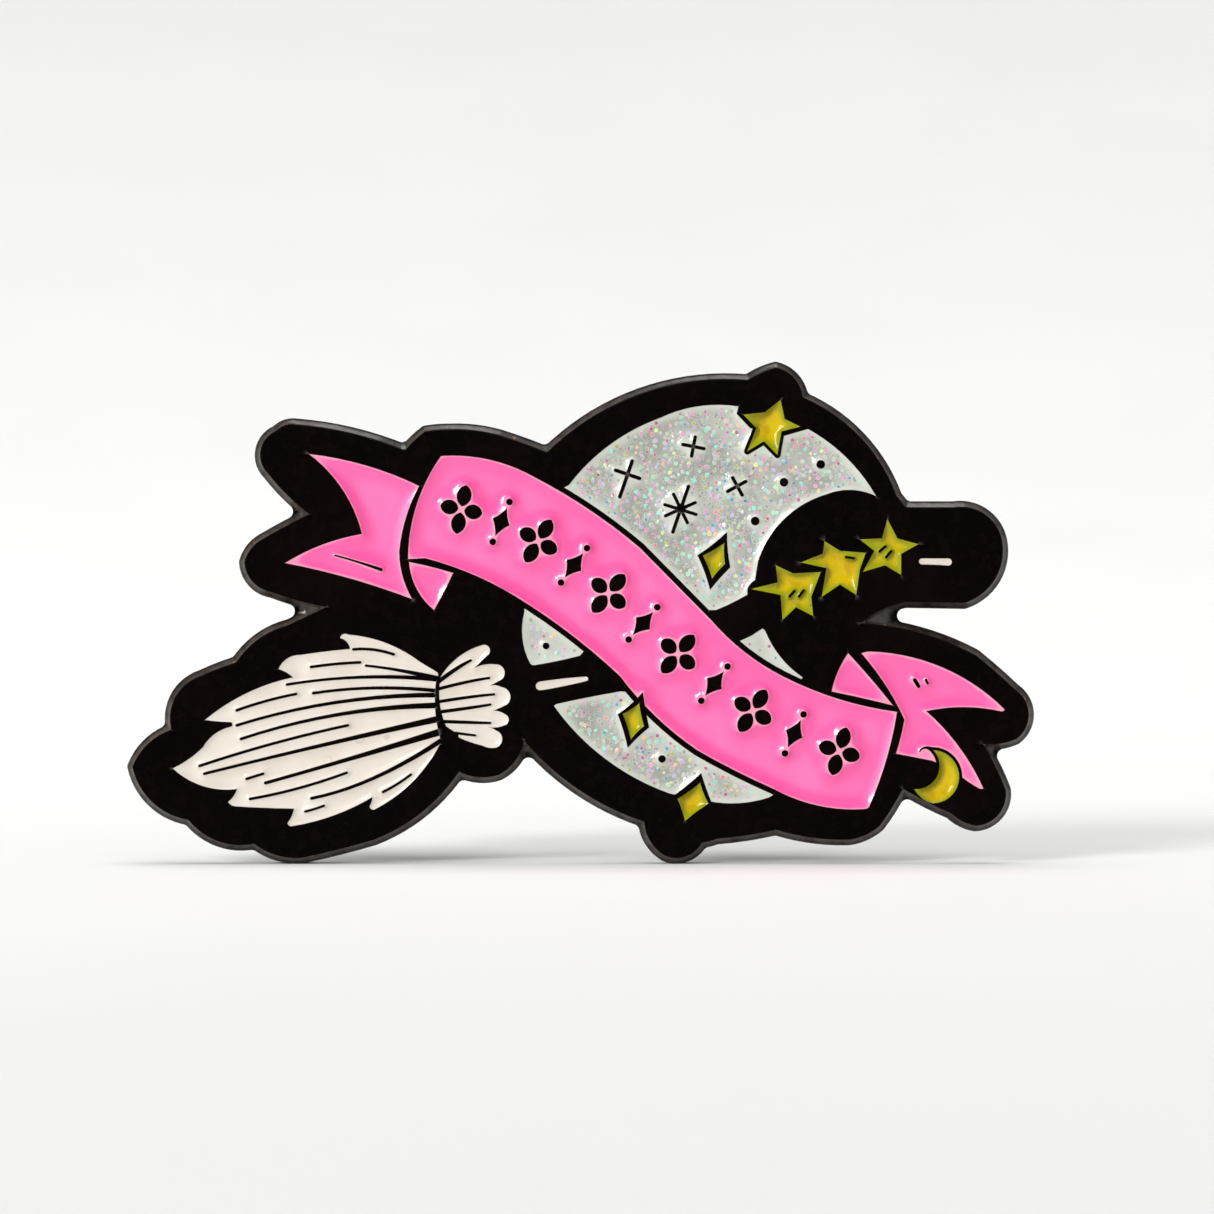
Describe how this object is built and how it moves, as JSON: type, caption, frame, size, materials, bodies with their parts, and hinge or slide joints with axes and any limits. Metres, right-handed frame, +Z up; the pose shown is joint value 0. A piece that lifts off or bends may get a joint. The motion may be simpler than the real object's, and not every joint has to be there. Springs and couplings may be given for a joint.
{
  "type": "enamel pin",
  "caption": "Soft enamel lapel pin with a crossed broom, moon and ribbon in sunken enamel cells, two posts and butterfly clutches.",
  "frame": {"origin": "centre of the plate's flat back face, midway between the silhouette's two ends", "axes": "+Y out of the back face along the posts, so the enamel face looks towards -Y; +X along the pin's length, to the right as seen from the front; +Z up"},
  "size_m": [0.0455, 0.0109, 0.0251],
  "materials": {
    "black_metal": "gloss",
    "pink_enamel": "gloss",
    "glitter_enamel": "gloss",
    "yellow_enamel": "gloss",
    "white_enamel": "gloss",
    "plated_steel": "nickel plate",
    "plated_brass": "nickel plate",
    "spring_wire": "drawn wire",
    "solder": "satin"
  },
  "bodies": {
    "pin": {"base_plate": "black_metal", "ribbon_enamel": "pink_enamel", "left_tail_enamel": "pink_enamel", "left_fold_enamel": "pink_enamel", "right_fold_enamel": "pink_enamel", "right_tail_enamel": "pink_enamel", "moon_glitter": "glitter_enamel", "moon_sliver_glitter": "glitter_enamel", "moon_corner_glitter": "glitter_enamel", "moon_foot_glitter": "glitter_enamel", "top_star_enamel": "yellow_enamel", "left_star_enamel": "yellow_enamel", "middle_star_enamel": "yellow_enamel", "right_star_enamel": "yellow_enamel", "upper_diamond_enamel": "yellow_enamel", "middle_diamond_enamel": "yellow_enamel", "lower_diamond_enamel": "yellow_enamel", "crescent_enamel": "yellow_enamel", "bristle_enamel": "white_enamel", "binding_enamel": "white_enamel", "left_highlight_enamel": "white_enamel", "right_highlight_enamel": "white_enamel", "left_post": "plated_steel", "right_post": "plated_steel", "left_solder": "solder", "right_solder": "solder"},
    "left_clutch_disc": {"left_clutch_base": "plated_brass"},
    "left_clutch_body": {"left_clutch_cap": "plated_brass", "left_clutch_spring": "spring_wire"},
    "left_wing_in": {"left_wing_inner": "plated_brass"},
    "left_wing_out": {"left_wing_outer": "plated_brass"},
    "right_clutch_disc": {"right_clutch_base": "plated_brass"},
    "right_clutch_body": {"right_clutch_cap": "plated_brass", "right_clutch_spring": "spring_wire"},
    "right_wing_in": {"right_wing_inner": "plated_brass"},
    "right_wing_out": {"right_wing_outer": "plated_brass"}
  },
  "joints": [
    {"name": "left_clutch_slide", "type": "slide", "parent": "pin", "child": "left_clutch_disc", "axis": [0, 1, 0], "range_m": [-0.0019, 0.01]},
    {"name": "left_clutch_turn", "type": "hinge", "parent": "left_clutch_disc", "child": "left_clutch_body", "pos_m": [-0.009, 0.0023, -0.0026], "axis": [0, 1, 0], "continuous": true},
    {"name": "left_wing_in_pinch", "type": "hinge", "parent": "left_clutch_body", "child": "left_wing_in", "pos_m": [-0.00615, 0.0034, -0.0026], "axis": [0, 0, 1], "range_deg": [0, 12], "stiffness_Nm_per_rad": 0.0005},
    {"name": "left_wing_out_pinch", "type": "hinge", "parent": "left_clutch_body", "child": "left_wing_out", "pos_m": [-0.01185, 0.0034, -0.0026], "axis": [0, 0, -1], "range_deg": [0, 12], "stiffness_Nm_per_rad": 0.0005},
    {"name": "right_clutch_slide", "type": "slide", "parent": "pin", "child": "right_clutch_disc", "axis": [0, 1, 0], "range_m": [-0.0019, 0.01]},
    {"name": "right_clutch_turn", "type": "hinge", "parent": "right_clutch_disc", "child": "right_clutch_body", "pos_m": [0.009, 0.0023, -0.0026], "axis": [0, 1, 0], "continuous": true},
    {"name": "right_wing_in_pinch", "type": "hinge", "parent": "right_clutch_body", "child": "right_wing_in", "pos_m": [0.00615, 0.0034, -0.0026], "axis": [0, 0, -1], "range_deg": [0, 12], "stiffness_Nm_per_rad": 0.0005},
    {"name": "right_wing_out_pinch", "type": "hinge", "parent": "right_clutch_body", "child": "right_wing_out", "pos_m": [0.01185, 0.0034, -0.0026], "axis": [0, 0, 1], "range_deg": [0, 12], "stiffness_Nm_per_rad": 0.0005}
  ],
  "couplings": [
    {"joint": "left_wing_out_pinch", "follows": "left_wing_in_pinch", "ratio": 1},
    {"joint": "right_wing_out_pinch", "follows": "right_wing_in_pinch", "ratio": 1}
  ]
}
